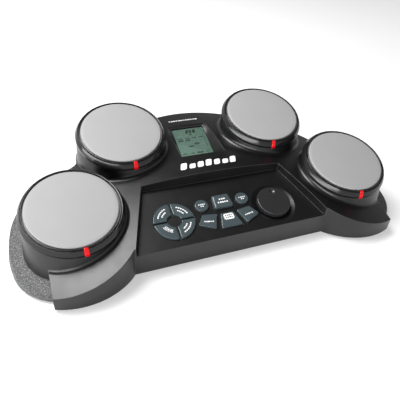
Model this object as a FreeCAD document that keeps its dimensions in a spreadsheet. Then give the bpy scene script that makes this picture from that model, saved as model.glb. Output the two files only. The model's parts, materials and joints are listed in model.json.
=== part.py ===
import FreeCAD, Part
import math
import os
import re
import Sketcher
from FreeCAD import Placement, Rotation, Vector

# Four-pad table-top electronic drum kit. Millimetres, +Z up, the player sits at -Y.
# The origin is the middle of the bounding box, on the table.

DRIVING = {
    # overall shell: one wide dome, trimmed to the outline
    "foot_height": 3.0, "wall": 2.5, "seam": 0.3, "sky": 110.0,
    "dome_radius": 817.0, "dome_y": 95.9, "dome_top": 67.8, "plate_drop": 9.5,
    "front_x": 111.1, "front_y": -90.2, "lobe_radius": 70.9,
    "edge_x": 192.0, "edge_front_y": -109.7, "edge_back_y": 0.0,
    "shoulder_x": 144.6, "shoulder_y": 51.0, "back_lobe_radius": 54.2,
    "back_join_x": 65.0, "back_join_y": 99.9, "back_arc_radius": 147.4,
    # wings around the front pads
    "wing_front_y": -100.5, "wing_nose_x": 226.5, "wing_nose_y": -54.0, "wing_nose_radius": 59.3,
    "wing_tail_x": 225.8, "wing_tail_y": 3.0, "wing_side_radius": 116.5,
    "wing_back_x": 170.0, "wing_back_y": 59.0, "wing_back_radius": 84.0,
    "wing_end_x": 127.0, "wing_end_y": 81.8, "wing_draft": 12.0, "lobe_end_x": 139.4, "lobe_end_y": 75.2,
    # pads: a head in a rim on a collar, all tilted towards the player
    "pad_tilt": 16.7, "front_pad_x": 160.2, "front_pad_y": -42.5, "front_pad_z": 65.4,
    "back_pad_x": 90.4, "back_pad_y": 48.7, "back_pad_z": 90.1,
    "head_radius": 45.0, "head_crown": 1.0, "head_thickness": 4.0, "head_flange": 47.6,
    "rim_radius": 51.5, "rim_lip": 46.2, "rim_bore": 48.2, "rim_height": 9.5,
    "plate_radius": 44.0, "plate_thickness": 1.5, "foam_radius": 42.0, "foam_inner": 32.0,
    "seat_drop": 14.0, "piezo_radius": 13.5, "piezo_thickness": 0.6,
    "collar_radius": 50.5, "collar_bore": 46.5, "collar_spread": 0.1, "collar_fillet": 4.8,
    "marker_angle": 6.4, "marker_turn": 6.0, "marker_proud": 0.35,
    # control panel and what stands on it
    "panel_slope": 14.2, "panel_z": 28.5, "panel_front_half": 109.5, "panel_back_half": 84.6,
    "panel_back_y": -15.0, "key_rise": 2.6, "key_skirt": 2.7, "key_flange": 0.9,
    "key_flange_height": 1.2, "key_gap": 0.4, "key_corner": 1.5, "square_corner": 2.4, "ring_corner": 1.0,
    "ring_u": -61.0, "ring_v": 31.2, "ring_radius": 22.6, "ring_hole": 7.8, "ring_slit": 1.1,
    "dial_u": 57.0, "dial_v": 30.5, "dial_radius": 19.4, "dial_rise": 4.2, "dial_gap": 0.5,
    "dial_foot": 1.6, "dial_round": 0.9, "dimple_radius": 6.5, "dish_radius": 26.0,
    "dish_depth": 2.4, "dish_floor": 4.6, "shaft_radius": 3.0, "encoder_side": 13.0,
    "round_key": 7.6, "board_thickness": 1.6,
    # display
    "display_y": 79.0, "display_z": 65.6, "glass_half": 20.8, "glass_length": 51.0,
    "lip_half": 28.6, "lip_y": 16.8, "lip_z": 64.4, "top_half": 27.0, "top_y": 84.0, "top_z": 68.0,
    # battery bay, rear sockets, speakers
    "bay_half": 79.0, "bay_front_y": -6.0, "bay_back_y": 50.0, "bay_top": 34.5,
    "cell_radius": 12.9, "cell_length": 49.5, "cell_front_y": 8.4, "cell_back_y": 35.6,
    "cell_pitch": 50.7, "cell_button": 1.5, "contact_thickness": 0.5,
    "hinge_radius": 1.5, "hinge_play": 0.06, "hinge_x": 58.0, "hinge_y": -11.0, "hinge_z": 6.2,
    "arm_radius": 2.6, "arm_width": 7.0, "pin_length": 16.0, "knuckle_length": 22.0,
    "door_gap": 1.2, "door_side_gap": 0.4, "door_thickness": 2.0,
    "rear_y": 104.0, "rear_half": 53.0, "rear_low": 10.0, "rear_high": 33.0, "socket_z": 21.0,
    "socket_pitch": 17.0, "jack_bore": 1.8, "pedal_bore": 3.2, "inlet_bore": 3.0,
    "speaker_radius": 31.0, "speaker_x": 152.0, "speaker_y": -42.0, "slot_pitch": 7.0, "slot_reach": 26.0,
    "foot_radius": 8.0, "screw_radius": 1.4, "screw_reach": 14.0, "screw_head": 1.6, "post_radius": 4.0,
}
FOOT_SPOTS = [(-170, -78), (170, -78), (-112, 78), (112, 78)]
SHELL_SCREWS = [(-116, -76), (116, -76), (-135, 4), (135, 4), (-62, 86), (62, 86)]
WING_SCREWS = [(-212, -8), (212, -8), (-196, 24), (196, 24)]
PADS = {
    "front_left": (-1, "front"), "back_left": (-1, "back"),
    "back_right": (1, "back"), "front_right": (1, "front"),
}
UP = Vector(0, 0, 1)
ALONG_X = Rotation(Vector(0, 1, 0), 90)
WORD = re.compile(r"\b[a-z][a-z_]+\b(?!\()")
ORIGIN = Placement()
ROUND_CORNERS, SHARP_CORNERS = 0, 2
doc = FreeCAD.newDocument("drum_pad")
sub_parts = []


# ---------------------------------------------------------------- sizes and small helpers
def write_sheet():
    sheet = doc.addObject("Spreadsheet::Sheet", "Sizes")
    for row, (alias, number) in enumerate(DRIVING.items(), start=1):
        sheet.set("A%d" % row, str(number))
        sheet.setAlias("A%d" % row, alias)
    doc.recompute()


def value(text):
    """The number that an expression of sheet aliases stands for."""
    numbers = WORD.sub(lambda word: "(%r)" % DRIVING[word.group()], str(text))
    return FreeCAD.Units.parseQuantity(numbers).Value


def bind(item, **sizes):
    for name, text in sizes.items():
        bind_path(item, name, text)
    return item


def bind_path(item, path, text):
    item.setExpression(path, WORD.sub(r"Sizes.\g<0>", str(text)))


def at(x=0, y=0, z=0):
    return Placement(Vector(value(x), value(y), value(z)), Rotation())


def tilted(x, y, z, degrees):
    """A frame at a point, its Z axis leaning towards the player by some degrees."""
    return Placement(Vector(value(x), value(y), value(z)), Rotation(Vector(1, 0, 0), value(degrees)))


def pad_frame(pad, drop=0):
    side, row = PADS[pad]
    frame = tilted("%d*%s_pad_x" % (side, row), row + "_pad_y", row + "_pad_z", "pad_tilt")
    return frame * at(0, 0, -value(drop))


def panel_frame(u=0, v=0, w=0, turn=0):
    """A frame on the control panel: u to the right, v up the slope, w out of the panel."""
    base = tilted(0, "front_y", "panel_z", "panel_slope")
    return base * at(u, v, w) * Placement(Vector(), Rotation(UP, turn))


def display_frame(u=0, v=0, w=0):
    return tilted(0, "display_y", "display_z", "pad_tilt") * at(u, v, w)


def keep(item, label=None):
    """Marks an object as a sub-part: its label is its file's name."""
    item.Label = label or item.Name
    sub_parts.append(item)
    return item


# ---------------------------------------------------------------- primitives and booleans
def box(name, length, width, height, place=ORIGIN):
    """A box centred in X and Y on its frame and standing on it."""
    item = bind(doc.addObject("Part::Box", name), Length=length, Width=width, Height=height)
    shift = Vector(-value(length) / 2, -value(width) / 2, 0)
    item.Placement = place * Placement(shift, Rotation())
    return item


def cylinder(name, radius, height, place=ORIGIN):
    item = bind(doc.addObject("Part::Cylinder", name), Radius=radius, Height=height)
    item.Placement = place
    return item


def cone(name, low_radius, high_radius, height, place=ORIGIN):
    item = doc.addObject("Part::Cone", name)
    bind(item, Radius1=low_radius, Radius2=high_radius, Height=height)
    item.Placement = place
    return item


def cut(name, base, *tools):
    item = doc.addObject("Part::Cut", name)
    item.Base = base
    item.Tool = tools[0] if len(tools) == 1 else fuse(name + "_tools", *tools)
    return item


def fuse(name, *pieces):
    item = doc.addObject("Part::MultiFuse", name)
    item.Shapes = list(pieces)
    return item


def common(name, *pieces):
    item = doc.addObject("Part::MultiCommon", name)
    item.Shapes = list(pieces)
    return item


def group(name, *pieces):
    item = doc.addObject("Part::Compound", name)
    item.Links = list(pieces)
    return item


def feature(name, shape, place=ORIGIN):
    item = doc.addObject("Part::Feature", name)
    item.Shape = shape
    item.Placement = place
    return item


# ---------------------------------------------------------------- sketches
def plane_of(body, role):
    return next(part for part in body.Origin.OriginFeatures if part.Role == role)


def arc_between(start, end, radius, turn):
    """The short arc from start to end; turn is 1 anticlockwise and -1 clockwise."""
    chord = end - start
    reach = math.sqrt(radius ** 2 - (chord.Length / 2) ** 2)
    left = Vector(-chord.y, chord.x, 0).normalize()
    centre = start + chord * 0.5 + left * (reach * turn)
    first, last = (start, end) if turn > 0 else (end, start)
    angles = [math.atan2(point.y - centre.y, point.x - centre.x) for point in (first, last)]
    return Part.ArcOfCircle(Part.Circle(centre, UP, radius), angles[0], angles[1])


def draw(sketch, steps):
    """Draws a closed outline. A step is (x, y), or (x, y, radius, turn) where an arc leaves the point."""
    points = [Vector(value(step[0]), value(step[1]), 0) for step in steps]
    ends = []
    for index, step in enumerate(steps):
        start, end = points[index], points[(index + 1) % len(points)]
        if len(step) == 2:
            sketch.addGeometry(Part.LineSegment(start, end))
            ends.append((1, 2))
        else:
            sketch.addGeometry(arc_between(start, end, value(step[2]), step[3]))
            ends.append((1, 2) if step[3] > 0 else (2, 1))
    for index, step in enumerate(steps):
        after = (index + 1) % len(steps)
        limit(sketch, "DistanceX", index, ends[index][0], step[0])
        limit(sketch, "DistanceY", index, ends[index][0], step[1])
        if len(step) > 2:
            number = sketch.addConstraint(Sketcher.Constraint("Radius", index, value(step[2])))
            bind_path(sketch, "Constraints[%d]" % number, step[2])
        joint = Sketcher.Constraint("Coincident", index, ends[index][1], after, ends[after][0])
        sketch.addConstraint(joint)


def limit(sketch, kind, index, end, text):
    number = sketch.addConstraint(Sketcher.Constraint(kind, index, end, value(text)))
    bind_path(sketch, "Constraints[%d]" % number, text)


def outline_body(name, steps, role="XY_Plane"):
    body = doc.addObject("PartDesign::Body", name)
    sketch = body.newObject("Sketcher::SketchObject", name + "_outline")
    sketch.AttachmentSupport = (plane_of(body, role), "")
    sketch.MapMode = "FlatFace"
    draw(sketch, steps)
    return body, sketch


def extruded(name, steps, low, height, taper=0, place=ORIGIN, rounding=None):
    """A straight or drafted extrusion of an outline, with rounded corners if asked."""
    body, sketch = outline_body(name, steps)
    bind_path(sketch, "AttachmentOffset.Base.z", low)
    pad = bind(body.newObject("PartDesign::Pad", name + "_pad"), Length=height)
    pad.Profile = sketch
    if taper:
        bind(pad, TaperAngle="0-" + taper)
    if rounding:
        doc.recompute()
        round_corners(body, pad, rounding)
    body.Placement = place
    return body, sketch


def round_corners(body, base, radius):
    """Fillets the upright edges of a prism."""
    edges = []
    for number, edge in enumerate(base.Shape.Edges, start=1):
        if edge.BoundBox.XLength < 1e-4 and edge.BoundBox.YLength < 1e-4:
            edges.append("Edge%d" % number)
    fillet = bind(body.newObject("PartDesign::Fillet", body.Name + "_round"), Radius=radius)
    fillet.Base = (base, edges)
    body.Tip = fillet


def turned(name, steps, place=ORIGIN, angle=360):
    """A solid of revolution about the frame's Z axis; x is the radius and y the height."""
    body, sketch = outline_body(name, steps, "XZ_Plane")
    lathe = body.newObject("PartDesign::Revolution", name + "_turned")
    lathe.Profile = sketch
    lathe.ReferenceAxis = (sketch, ["V_Axis"])
    lathe.Angle = angle
    lathe.Midplane = angle < 360
    body.Placement = place
    return body


def grown(name, sketch, margin, low, height, place=ORIGIN, taper=0, join=ROUND_CORNERS):
    """An extrusion of a sketch's outline made larger (or, with a minus, smaller) all round."""
    wire = bind(doc.addObject("Part::Offset2D", name + "_wire"), Value=margin)
    wire.Source = sketch
    wire.Join = join
    prism = doc.addObject("Part::Extrusion", name)
    prism.Base = wire
    prism.DirMode = "Custom"
    prism.Dir = UP
    prism.Solid = True
    bind(prism, LengthFwd=height)
    if taper:
        bind(prism, TaperAngle="0-" + taper)
    prism.Placement = place * at(0, 0, low)
    return prism


# ---------------------------------------------------------------- outlines
def mirrored(half):
    """Closes an outline: the given right half, then its mirror image walked back."""
    left = []
    for index in range(len(half) - 1, -1, -1):
        x, y = half[index][:2]
        arrive = half[index - 1] if index else ()
        left.append(("0-(%s)" % x, y) + tuple(arrive[2:]))
    return half + left


def shell_outline():
    return mirrored([
        ("front_x", "front_y", "lobe_radius", 1),
        ("edge_x", "edge_front_y"),
        ("edge_x", "edge_back_y"),
        ("shoulder_x", "shoulder_y", "back_lobe_radius", 1),
        ("back_join_x", "back_join_y", "back_arc_radius", 1),
    ])


def whole_outline():
    return mirrored([
        ("front_x", "front_y", "lobe_radius", 1),
        ("edge_x", "edge_front_y"),
        ("edge_x", "wing_front_y", "wing_nose_radius", 1),
        ("wing_nose_x", "wing_nose_y", "wing_side_radius", 1),
        ("wing_tail_x", "wing_tail_y", "wing_back_radius", 1),
        ("wing_back_x", "wing_back_y"),
        ("lobe_end_x", "lobe_end_y", "back_lobe_radius", 1),
        ("back_join_x", "back_join_y", "back_arc_radius", 1),
    ])


def panel_outline(extra=0):
    """The control panel's trapezium, open past the front wall."""
    grow = "+%g" % extra
    beyond = "front_y-30"
    flare = "(panel_front_half-panel_back_half)*30/(panel_back_y-front_y)"
    return mirrored([
        ("panel_front_half+%s%s" % (flare, grow), beyond),
        ("panel_back_half" + grow, "panel_back_y" + grow),
    ])


# ---------------------------------------------------------------- collars
def collar_rings(pad, inset, drop, low):
    """A tilted top circle and the level one far below it, which a collar's wall joins."""
    frame = pad_frame(pad, drop)
    centre = frame.Base
    tilt = math.radians(value("pad_tilt"))
    height = centre.z - value(low)
    upper = Part.Circle(centre, frame.Rotation.multVec(UP), value("collar_radius") - inset)
    spread = value("collar_spread") * height - value("collar_radius") * (1 - math.cos(tilt)) / 2
    foot = Vector(centre.x, centre.y, value(low))
    lower = Part.Circle(foot, UP, value("collar_radius") - inset + spread)
    return [Part.Wire([ring.toShape()]) for ring in (lower, upper)]


def collar(name, pad, inset=0, drop="rim_height", low="foot_height"):
    """The pad's tower: walls drawn straight up, opening a little towards the table."""
    return feature(name, Part.makeLoft(collar_rings(pad, inset, drop, low), True, True))


def foot_edges(shape):
    """The curves where the collars' drawn walls run into the dome."""
    found = []
    for edge in shape.Edges:
        faces = shape.ancestorsOfType(edge, Part.Face)
        kinds = {type(face.Surface).__name__ for face in faces}
        if kinds == {"Sphere", "BSplineSurface"}:
            found.append(edge)
    return found


# ---------------------------------------------------------------- shell
def dome(name, sink, block):
    """The part of a block that lies under the dome, sunk by a distance."""
    ball = bind(doc.addObject("Part::Sphere", name + "_ball"), Radius="dome_radius-(%s)" % sink)
    ball.Placement = at(0, "dome_y", "dome_top-dome_radius")
    return common(name, block, ball)


def panel_space(name, lift=0, extra=0):
    """Everything over the control panel's floor, inside its trapezium."""
    prism = extruded(name + "_prism", panel_outline(extra), 0, "2*sky")[0]
    above = box(name + "_above", 300, 260, "2*sky", panel_frame(0, 0, lift))
    return common(name, prism, above)


def display_space(name):
    """The display's pocket: a slot of glass size below, opening to the frame on the dome."""
    half, length = value("glass_half"), value("glass_length")
    glass_corners = ((-half, 0), (half, 0), (half, -length), (-half, -length))
    mouth_corners = ((-1, "top"), (1, "top"), (1, "lip"), (-1, "lip"))
    low = [display_frame(x, y).Base for x, y in glass_corners]
    high = []
    for side, end in mouth_corners:
        high.append(Vector(side * value(end + "_half"), value(end + "_y"), value(end + "_z")))
    quads = [Part.makePolygon(corners + corners[:1]) for corners in (low, high)]
    pocket = feature(name + "_pocket", Part.makeLoft(quads, True, True))
    over = Part.Face(quads[1]).extrude(Vector(0, 0, 12))
    return fuse(name, pocket, feature(name + "_over", over))


def rear_space(name, depth, extra):
    """The flat recess in the back wall that the sockets look out of."""
    width = "2*(rear_half+%s)" % extra
    height = "rear_high-rear_low+2*(%s)" % extra
    place = at(0, "rear_y+15-(%s)" % depth, "rear_low-(%s)" % extra)
    return box(name, width, 30, height, place)


def shell_blanks():
    """The smooth shell as a solid, and its cavity."""
    slab = box("slab", 470, 240, "sky", at(0, 0, "foot_height"))
    hill = dome("hill", 0, slab)
    towers = [collar("tower_" + pad, pad) for pad in PADS]
    raw = fuse("raw_hill", hill, *towers)
    doc.recompute()
    rounded = feature("rounded_hill", raw.Shape.makeFillet(value("collar_fillet"), foot_edges(raw.Shape)))
    prism, sketch = extruded("shell_prism", shell_outline(), "foot_height", "sky")
    envelope = fuse("shell_envelope", prism, *towers)
    solid = common("shell_solid", rounded, envelope)

    inner_prism = grown("cavity_prism", sketch, "0-wall", 0, "sky")
    room = dome("cavity_dome", "wall", inner_prism)
    kept = [
        panel_space("panel_kept", "0-wall", value("wall")),
        box("display_kept", "2*lip_half+6", 78, 30, display_frame(0, -29, -4.5)),
        rear_space("rear_kept", "wall", "wall"),
    ]
    room = cut("cavity_room", room, *kept)
    cores = [collar("core_" + pad, pad, value("wall"), "seat_drop+wall", 0) for pad in PADS]
    cavity = fuse("cavity", room, *cores)
    return solid, cavity


def dial_frame(lift=0):
    """A frame on the panel at the dial's middle."""
    return panel_frame("dial_u", "dial_v", lift)


def dial_seat():
    """The bright dish round the dial, the dial's own well and the hole for its shaft."""
    floor = dial_frame("0-dish_depth")
    dish = cone("dish", "dial_radius+dial_gap", "dish_radius", "dish_depth+0.01", floor)
    well = cylinder("dial_bore", "dial_radius+dial_gap", 12, dial_frame(-2))
    shaft = cylinder("shaft_bore", "shaft_radius+0.4", 12, dial_frame(-9))
    return [dish, well, shaft]


def top_case(solid, cavity, floor_space, panel_holes):
    """The hollow shell with its screw posts, less every recess, seat and hole in it."""
    hollow = cut("hollow_shell", solid, cavity)
    boss = cylinder("dish_boss", "dial_radius+2.1", "dish_floor", dial_frame("0-dish_floor"))
    inner_posts = common("shell_posts", posts("shell_post", SHELL_SCREWS, "post_radius", "sky"), solid)
    joined = fuse("joined_shell", hollow, boss, inner_posts)
    spaces = [
        panel_space("panel_clear"), display_space("display_clear"), window_space("window_clear"),
        rear_space("rear_clear", 0, 0), floor_space, *dial_seat(),
        posts("shell_bore", SHELL_SCREWS, "screw_radius", "screw_reach+1"),
    ]
    for pad in PADS:
        spaces.append(cylinder("seat_" + pad, "collar_bore", 40, pad_frame(pad, "seat_drop")))
    return cut("top_case", joined, *spaces, *panel_holes, *rear_holes())


def posts(name, spots, radius, height):
    pins = [cylinder("%s_%d" % (name, n), radius, height, at(x, y)) for n, (x, y) in enumerate(spots)]
    return fuse(name, *pins)


def wings(solid, floor_space):
    """Grained covers, lower than the shell, wrapped around the outside of the front pads."""
    steps = [
        ("edge_x", "wing_front_y", "wing_nose_radius", 1),
        ("wing_nose_x", "wing_nose_y", "wing_side_radius", 1),
        ("wing_tail_x", "wing_tail_y", "wing_back_radius", 1),
        ("wing_back_x", "wing_back_y"),
        ("wing_end_x", "wing_end_y"),
        ("wing_end_x", "wing_front_y"),
    ]
    prism, sketch = extruded("wing_prism", steps, "foot_height", 60, "wing_draft")
    skin = dome("wing_skin", "plate_drop", prism)
    inner = grown("wing_inner", sketch, "0-wall", 0, 60, taper="wing_draft")
    room = dome("wing_room", "plate_drop+wall", inner)
    spots = [spot for spot in WING_SCREWS if spot[0] > 0]
    inside = common("wing_posts", posts("wing_post", spots, "post_radius", 60), skin)
    bores = posts("wing_bore", spots, "screw_radius", "screw_reach+1")
    body = fuse("wing_joined", cut("wing_hollow", skin, room), inside)
    right = keep(cut("wing_right", body, solid, floor_space, bores))
    left = doc.addObject("Part::Mirroring", "wing_left")
    left.Source = right
    left.Normal = Vector(1, 0, 0)
    keep(left)


# ---------------------------------------------------------------- bottom
def battery_bay():
    """The walls and roof of the battery bay, open below."""
    length, width = "2*bay_half", "bay_back_y-bay_front_y"
    height = "bay_top-foot_height"
    place = at(0, "(bay_front_y+bay_back_y)/2", "foot_height")
    outside = box("bay_outer", length + "+4", width + "+4", height, place)
    return cut("bay_walls", outside, box("bay_inner", length, width, height + "-2", place))


def hinge_point(side):
    return Vector(side * value("hinge_x"), value("hinge_y"), value("hinge_z"))


def speaker_cup(side):
    """The round wall that holds a speaker over its slots."""
    rim = cylinder("speaker_rim_%d" % side, "speaker_radius+3", 8, speaker_frame(side))
    room = cylinder("speaker_hole_%d" % side, "speaker_radius+0.3", 30, speaker_frame(side))
    return cut("speaker_wall_%d" % side, rim, room)


def hinge_spaces(side):
    """The bore for a hinge pin and the slot for its arm, in one knuckle."""
    start = hinge_point(side) - Vector(10, 0, 0)
    bore = cylinder("hinge_bore_%d" % side, "hinge_radius+hinge_play", 20, Placement(start, ALONG_X))
    slot = box("hinge_slot_%d" % side, "arm_width+1.6", 11, 8, at("%d*hinge_x" % side, "hinge_y", 2))
    return [bore, slot]


def bottom_case(sketch):
    """The base: floor, battery bay, hinge knuckles and speaker cups, with all their openings."""
    pieces = [grown("floor_plate", sketch, "0-wall-seam", 0, "wall"), battery_bay()]
    middle = "(bay_front_y+bay_back_y)/2"
    openings = [box("door_opening", "2*bay_half", "bay_back_y-bay_front_y", 4, at(0, middle, 2))]
    for side in (-1, 1):
        knuckle_place = at("%d*hinge_x" % side, "hinge_y", "foot_height")
        pieces.append(box("knuckle_%d" % side, "knuckle_length", 8, 6.5, knuckle_place))
        pieces.append(speaker_cup(side))
        openings += hinge_spaces(side)
        openings += speaker_slots(side)
    for n, (x, y) in enumerate(FOOT_SPOTS):
        openings.append(cylinder("foot_recess_%d" % n, "foot_radius", 1, at(x, y, "foot_height")))
    for n, (x, y) in enumerate(SHELL_SCREWS + WING_SCREWS):
        place = at(x, y, "foot_height")
        openings.append(cylinder("head_recess_%d" % n, "2*screw_radius+0.2", "screw_head", place))
        openings.append(cylinder("screw_hole_%d" % n, "screw_radius", 10, at(x, y)))
    return keep(cut("bottom_case", fuse("bottom_solid", *pieces), *openings))


def speaker_frame(side):
    return at("%d*speaker_x" % side, "speaker_y", "foot_height+wall")


def speaker_slots(side):
    """Seven parallel sound slots under a speaker, shorter towards its edge."""
    slots = []
    for n in range(-3, 4):
        x = n * value("slot_pitch")
        length = 2 * math.sqrt(value("slot_reach") ** 2 - x ** 2)
        slots.append(box("slot_%d_%d" % (side, n), 3, length, 8, speaker_frame(side) * at(x, 0, -5)))
    return slots


def battery_door():
    """The lid of the battery bay, hung on two arms whose pins sit in the bottom's knuckles."""
    width = "bay_back_y-bay_front_y-door_gap-door_side_gap"
    middle = "(bay_front_y+door_gap+bay_back_y-door_side_gap)/2"
    place = at(0, middle, "foot_height")
    pieces = [box("door_lid", "2*bay_half-2*door_side_gap", width, "door_thickness", place)]
    for side in (-1, 1):
        arm = Placement(hinge_point(side) - Vector(value("arm_width") / 2, 0, 0), ALONG_X)
        pin = Placement(hinge_point(side) - Vector(value("pin_length") / 2, 0, 0), ALONG_X)
        link = at("%d*hinge_x" % side, "hinge_y+4", "foot_height")
        pieces.append(cylinder("arm_%d" % side, "arm_radius", "arm_width", arm))
        pieces.append(cylinder("pin_%d" % side, "hinge_radius", "pin_length", pin))
        pieces.append(box("arm_link_%d" % side, "arm_width", 7, "door_thickness", link))
    grips = [box("grip_%d" % n, 30, 1.2, 0.8, at(0, 36 + 2.6 * n, "foot_height")) for n in range(4)]
    return keep(cut("battery_door", fuse("door_pieces", *pieces), *grips))


def battery_cells():
    """Six cells in two rows, each a can with its button end."""
    cells = []
    can_length = "cell_length-cell_button"
    for row in ("front", "back"):
        for n in (-1, 0, 1):
            place = at("%d*cell_pitch-cell_length/2" % n, "cell_%s_y" % row, "foot_height+16")
            along = place * Placement(Vector(), ALONG_X)
            can = cylinder("can_%s_%d" % (row, n), "cell_radius", can_length, along)
            button = cylinder("button_%s_%d" % (row, n), 3.5, "cell_button", along * at(0, 0, can_length))
            cells.append(fuse("cell_%s_%d" % (row, n), can, button))
    return keep(group("battery_cells", *cells))


def battery_contacts():
    """A thin contact plate at each end of each row of cells."""
    plates = []
    for side in (-1, 1):
        for row in ("front", "back"):
            place = at("%d*(bay_half-0.35)" % side, "cell_%s_y" % row, 9)
            plates.append(box("contact_%d_%s" % (side, row), "contact_thickness", 14, 20, place))
    return keep(group("battery_contacts", *plates))


def rubber_feet():
    """Four turned feet, each with a head let into the base."""
    profile = [
        (0, 0), (6.6, 0), ("foot_radius-0.4", 1.2), ("foot_radius", "foot_height"),
        ("foot_radius", "foot_height+1"), (0, "foot_height+1"),
    ]
    feet = [turned("foot_%d" % n, profile, at(x, y)) for n, (x, y) in enumerate(FOOT_SPOTS)]
    return keep(group("rubber_feet", *feet))


def case_screws():
    """Slotted self-tapping screws: six into the shell's posts and two into each wing's."""
    screws = []
    for n, (x, y) in enumerate(SHELL_SCREWS + WING_SCREWS):
        place = at(x, y, "foot_height")
        above_head = at(x, y, "foot_height+screw_head")
        head = cylinder("screw_head_%d" % n, "2*screw_radius", "screw_head", place)
        shank_length = "screw_reach-foot_height-screw_head"
        shank = cylinder("screw_shank_%d" % n, "screw_radius", shank_length, above_head)
        recess = box("screw_slot_%d" % n, 4, 0.6, 0.7, place)
        screws.append(cut("screw_%d" % n, fuse("screw_blank_%d" % n, head, shank), recess))
    return keep(group("case_screws", *screws))


# ---------------------------------------------------------------- pads
def pad_parts(pad):
    """Head, strike plate, foam spring, sensor, rim and the red marker of one pad."""
    frame = pad_frame(pad)
    side = PADS[pad][0]
    crown_radius = "((head_radius-1)^2+head_crown^2)/(2*head_crown)"
    head = [
        (0, "0-head_thickness"), ("head_flange", "0-head_thickness"),
        ("head_flange", "1.4-head_thickness"), ("head_radius", "1.4-head_thickness"),
        ("head_radius", -1, 1, 1), ("head_radius-1", 0, crown_radius, 1), (0, "head_crown"),
    ]
    keep(turned("pad_head_" + pad, head, frame))
    under = "0-head_thickness-plate_thickness"
    keep(cylinder("pad_plate_" + pad, "plate_radius", "plate_thickness", frame * at(0, 0, under)))
    sensor_place = frame * at(0, 0, under + "-piezo_thickness")
    keep(cylinder("piezo_" + pad, "piezo_radius", "piezo_thickness", sensor_place))
    foam_height = "seat_drop-head_thickness-plate_thickness"
    seat = frame * at(0, 0, "0-seat_drop")
    foam = cylinder("foam_" + pad, "foam_radius", foam_height, seat)
    keep(cut("foam_ring_" + pad, foam, cylinder("foam_hole_" + pad, "foam_inner", foam_height, seat)))
    rim = [
        ("rim_bore", "0-rim_height"), ("rim_radius", "0-rim_height"), ("rim_radius", -6),
        ("rim_radius-2.9", -0.9), ("rim_lip+1.5", -0.5), ("rim_lip+0.4", -0.5), ("rim_lip", -0.9),
        ("rim_lip", -2.2), ("rim_bore", -2.4),
    ]
    inlay = [
        ("rim_bore+1.2", -8.8), ("rim_radius+marker_proud", -8.8), ("rim_radius+marker_proud", -5.9),
        ("rim_radius-2.8", -0.4), ("rim_lip+0.5", -0.2), ("rim_lip+0.5", -1.6), ("rim_bore+1.2", -2.6),
    ]
    turn = Placement(Vector(), Rotation(UP, -90 - side * value("marker_turn")))
    marker = turned("strike_marker_" + pad, inlay, frame * turn, value("marker_angle"))
    keep(marker)
    keep(cut("pad_rim_" + pad, turned("rim_ring_" + pad, rim, frame), marker))


# ---------------------------------------------------------------- keys and dial
def quadrant():
    """One quarter of the key ring, parted from its neighbours by straight slits."""
    outer = "sqrt(ring_radius^2-ring_slit^2)"
    inner = "sqrt(ring_hole^2-ring_slit^2)"
    return [(inner, "ring_slit"), (outer, "ring_slit", "ring_radius", 1), ("ring_slit", outer),
            ("ring_slit", inner, "ring_hole", -1)]


def disc(radius):
    """A circle, as four quarter arcs."""
    minus = "0-" + radius
    return [(radius, 0, radius, 1), (0, radius, radius, 1), (minus, 0, radius, 1), (0, minus, radius, 1)]


SQUARE = [(-11.4, -8.6), (11.4, -8.6), (9.8, 8.6), (-9.8, 8.6)]
LOWER_LEFT = [(-1.9, -9.2), (4.5, 8.7), (-11.6, 10.8), (-19.4, -0.7)]
LOWER_MIDDLE = [(-12.4, -9.6), (12.4, -9.6), (7.4, 8.6), (-7.4, 8.6)]
LOWER_RIGHT = [(-x, y) for x, y in reversed(LOWER_LEFT)]
KEY_SHAPES = {
    # name: (outline about its own centre, corner radius, u, v, turn, rise over the panel)
    "key_ring_upper_right": (quadrant(), "ring_corner", "ring_u", "ring_v", 0, "key_rise"),
    "key_ring_upper_left": (quadrant(), "ring_corner", "ring_u", "ring_v", 90, "key_rise"),
    "key_ring_lower_left": (quadrant(), "ring_corner", "ring_u", "ring_v", 180, "key_rise"),
    "key_ring_lower_right": (quadrant(), "ring_corner", "ring_u", "ring_v", 270, "key_rise"),
    "key_round_left": (disc("round_key"), None, -26, 43.8, 0, "key_rise"),
    "key_round_right": (disc("round_key"), None, 22.6, 43.8, 0, "key_rise"),
    "key_square": (SQUARE, "square_corner", -1.7, 44.4, 0, "key_rise+1.4"),
    "key_lower_left": (LOWER_LEFT, "key_corner", -17.9, 20.6, 0, "key_rise"),
    "key_lower_middle": (LOWER_MIDDLE, "key_corner", -1.7, 20.1, 0, "key_rise"),
    "key_lower_right": (LOWER_RIGHT, "key_corner", 14.5, 20.6, 0, "key_rise"),
}


def key(name):
    """A key cap with the flange that holds it under the panel, and the hole that it needs."""
    steps, corner, u, v, turn, rise = KEY_SHAPES[name]
    low = "0-key_skirt-key_flange_height"
    height = "key_skirt+key_flange_height+" + rise
    cap, sketch = extruded(name + "_cap", steps, low, height, rounding=corner)
    flange = grown(name + "_flange", sketch, "key_flange", 0, "key_flange_height")
    whole = fuse(name, cap, flange)
    whole.Placement = panel_frame(u, v, 0, turn)
    keep(whole)
    hole_place = panel_frame(u, v, 0.6, turn)
    return grown(name + "_hole", sketch, "key_gap", 0, "2*key_skirt", hole_place, join=SHARP_CORNERS)


def keypad_mat():
    """The silicone sheet under the keys, with a stub below each."""
    sheet = box("mat_sheet", 122, 52, 0.8, panel_frame(-26, 30, -7))
    stubs = []
    for name, (steps, corner, u, v, turn, rise) in KEY_SHAPES.items():
        middle = at(11, 11) if "ring" in name else at()
        stubs.append(cone(name + "_stub", 4, 3, 1.4, panel_frame(u, v, -6.2, turn) * middle))
    return keep(fuse("keypad_mat", sheet, *stubs))


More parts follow.
